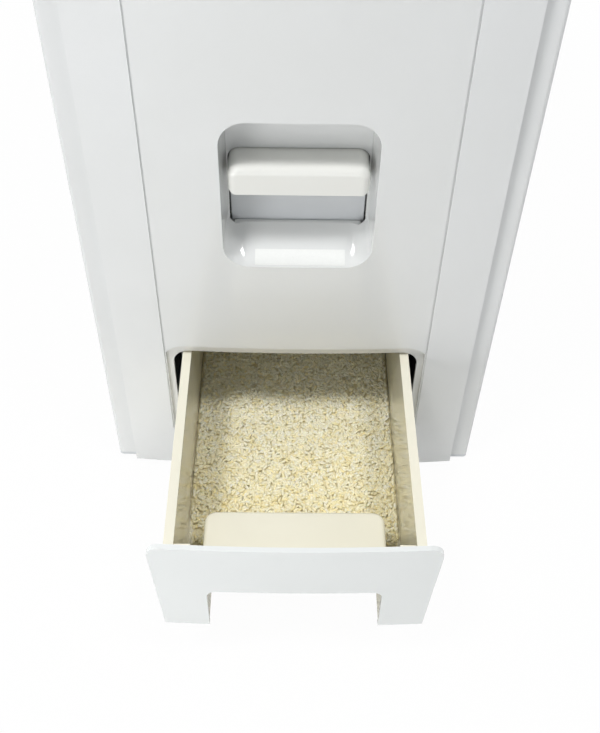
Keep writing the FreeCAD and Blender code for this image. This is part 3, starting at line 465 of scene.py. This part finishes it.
def make_grain_heaps(skin):
    """The loose grains, shared out over a few pieces."""
    grains = scatter_grains()
    one_grain = grain_mesh()
    for number, start in enumerate(range(0, len(grains), GRAINS_PER_HEAP), 1):
        bm = bmesh.new()
        tone = bm.verts.layers.float.new("tone")
        for place, husk_and_warm_light in grains[start:start + GRAINS_PER_HEAP]:
            first = len(bm.verts)
            bm.from_mesh(one_grain)
            bm.verts.ensure_lookup_table()
            for v in bm.verts[first:]:
                v.co = place @ v.co
                v[tone] = husk_and_warm_light
        piece_from(bm, f"rice_grains_{number}", skin, "drawer")
    bpy.data.meshes.remove(one_grain)


# -------------------------------------------------------------------- stage
def show_camera(tree, seen, otherwise, output, share=1.0):
    """The camera sees the one shader, by the given share; light and mirrors meet the other."""
    path = tree.nodes.new("ShaderNodeLightPath")
    part = tree.nodes.new("ShaderNodeMath")
    part.operation = "MULTIPLY"
    part.inputs[1].default_value = share
    mix = tree.nodes.new("ShaderNodeMixShader")
    tree.links.new(path.outputs["Is Camera Ray"], part.inputs[0])
    tree.links.new(part.outputs[0], mix.inputs["Fac"])
    tree.links.new(otherwise, mix.inputs[1])
    tree.links.new(seen, mix.inputs[2])
    tree.links.new(mix.outputs["Shader"], tree.nodes[output].inputs["Surface"])


def make_floor():
    bm = bmesh.new()
    bmesh.ops.create_grid(bm, x_segments=1, y_segments=1, size=FLOOR_HALF)
    bmesh.ops.translate(bm, verts=bm.verts[:], vec=(0.0, 0.0, -FLOOR_DROP))
    mesh = bpy.data.meshes.new("floor")
    bm.to_mesh(mesh)
    bm.free()
    material, tree, bsdf = new_material("pale_floor")
    bsdf.inputs["Base Color"].default_value = (0.86, 0.86, 0.85, 1.0)
    bsdf.inputs["Roughness"].default_value = 0.9
    glow = tree.nodes.new("ShaderNodeEmission")
    glow.inputs["Color"].default_value = (1.0, 1.0, 1.0, 1.0)
    show_camera(tree, glow.outputs["Emission"], bsdf.outputs["BSDF"], "Material Output",
                share=FLOOR_GLOW)
    mesh.materials.append(material)
    floor = bpy.data.objects.new("floor", mesh)
    bpy.context.scene.collection.objects.link(floor)


def make_world():
    world = bpy.data.worlds.new("studio")
    bpy.context.scene.world = world
    world.use_nodes = True
    tree = world.node_tree
    sky = tree.nodes["Background"]
    sky.inputs["Color"].default_value = (0.93, 0.96, 1.0, 1.0)
    sky.inputs["Strength"].default_value = SKY_STRENGTH
    white = tree.nodes.new("ShaderNodeBackground")
    white.inputs["Color"].default_value = (1.0, 1.0, 1.0, 1.0)
    show_camera(tree, white.outputs["Background"], sky.outputs["Background"], "World Output")


def soft_box(name, at, towards, wide, high, power, mirrored=True):
    """A rectangular lamp; one that isn't mirrored lights the part without a glare on it."""
    light = bpy.data.lights.new(name, "AREA")
    light.shape = "RECTANGLE"
    light.size, light.size_y = wide, high
    light.energy = power
    lamp = bpy.data.objects.new(name, light)
    lamp.location = at
    lamp.rotation_euler = (Vector(towards) - Vector(at)).to_track_quat("-Z", "Y").to_euler()
    lamp.visible_glossy = mirrored
    bpy.context.scene.collection.objects.link(lamp)


def make_lamps():
    """Two lamps overhead, three before the front and two for the back and sides."""
    body = (0.0, -0.2, 0.2)
    soft_box("ceiling_left", (-0.7, -0.75, 2.1), body, wide=0.4, high=0.4, power=17.5)
    soft_box("ceiling_right", (0.65, -0.65, 2.1), body, wide=0.4, high=0.4, power=11.5)
    soft_box("front_left", (-1.1, -1.5, 1.7), (0.0, -0.15, 0.2), wide=1.3, high=1.0, power=3.0)
    soft_box("low_left", (-0.75, -0.95, 0.2), (0.0, -0.25, 0.05), wide=0.4, high=0.3, power=2.4)
    soft_box("low_front", (-0.05, -1.15, 0.15), (0.0, -0.25, 0.06), wide=0.5, high=0.25,
             power=0.6)
    rear = (0.0, 0.1, 0.25)
    soft_box("rear_right", (1.5, 1.3, 0.9), rear, wide=1.2, high=1.0, power=17.0,
             mirrored=False)
    soft_box("rear_left", (-1.3, 1.4, 1.0), rear, wide=1.2, high=1.0, power=13.0,
             mirrored=False)


def make_camera():
    lens = bpy.data.cameras.new("camera")
    lens.sensor_fit = "AUTO"
    lens.sensor_width = SENSOR
    lens.lens = FOCAL_PX * SENSOR / IMAGE_HIGH_PX
    lens.clip_start = NEAREST
    camera = bpy.data.objects.new("camera", lens)
    ahead = Vector((math.sin(CAMERA_YAW) * math.cos(CAMERA_PITCH),
                    math.cos(CAMERA_YAW) * math.cos(CAMERA_PITCH), -math.sin(CAMERA_PITCH)))
    level = Vector((math.cos(CAMERA_YAW), -math.sin(CAMERA_YAW), 0.0))
    upright = level.cross(ahead)
    right = level * math.cos(CAMERA_ROLL) + upright * math.sin(CAMERA_ROLL)
    up = upright * math.cos(CAMERA_ROLL) - level * math.sin(CAMERA_ROLL)
    turn = Matrix((right, up, -ahead)).transposed().to_4x4()
    camera.matrix_world = Matrix.Translation(CAMERA_AT) @ turn
    bpy.context.scene.collection.objects.link(camera)
    bpy.context.scene.camera = camera


finish_the_nodes()
make_return_springs(FINISHES["steel"])
make_rice_bed(rice_bed_skin("rice_in_shade"))
make_grain_heaps(rice_grain_skin("milled_rice"))
make_floor()
make_world()
make_lamps()
make_camera()
bpy.context.scene.view_settings.view_transform = "Standard"
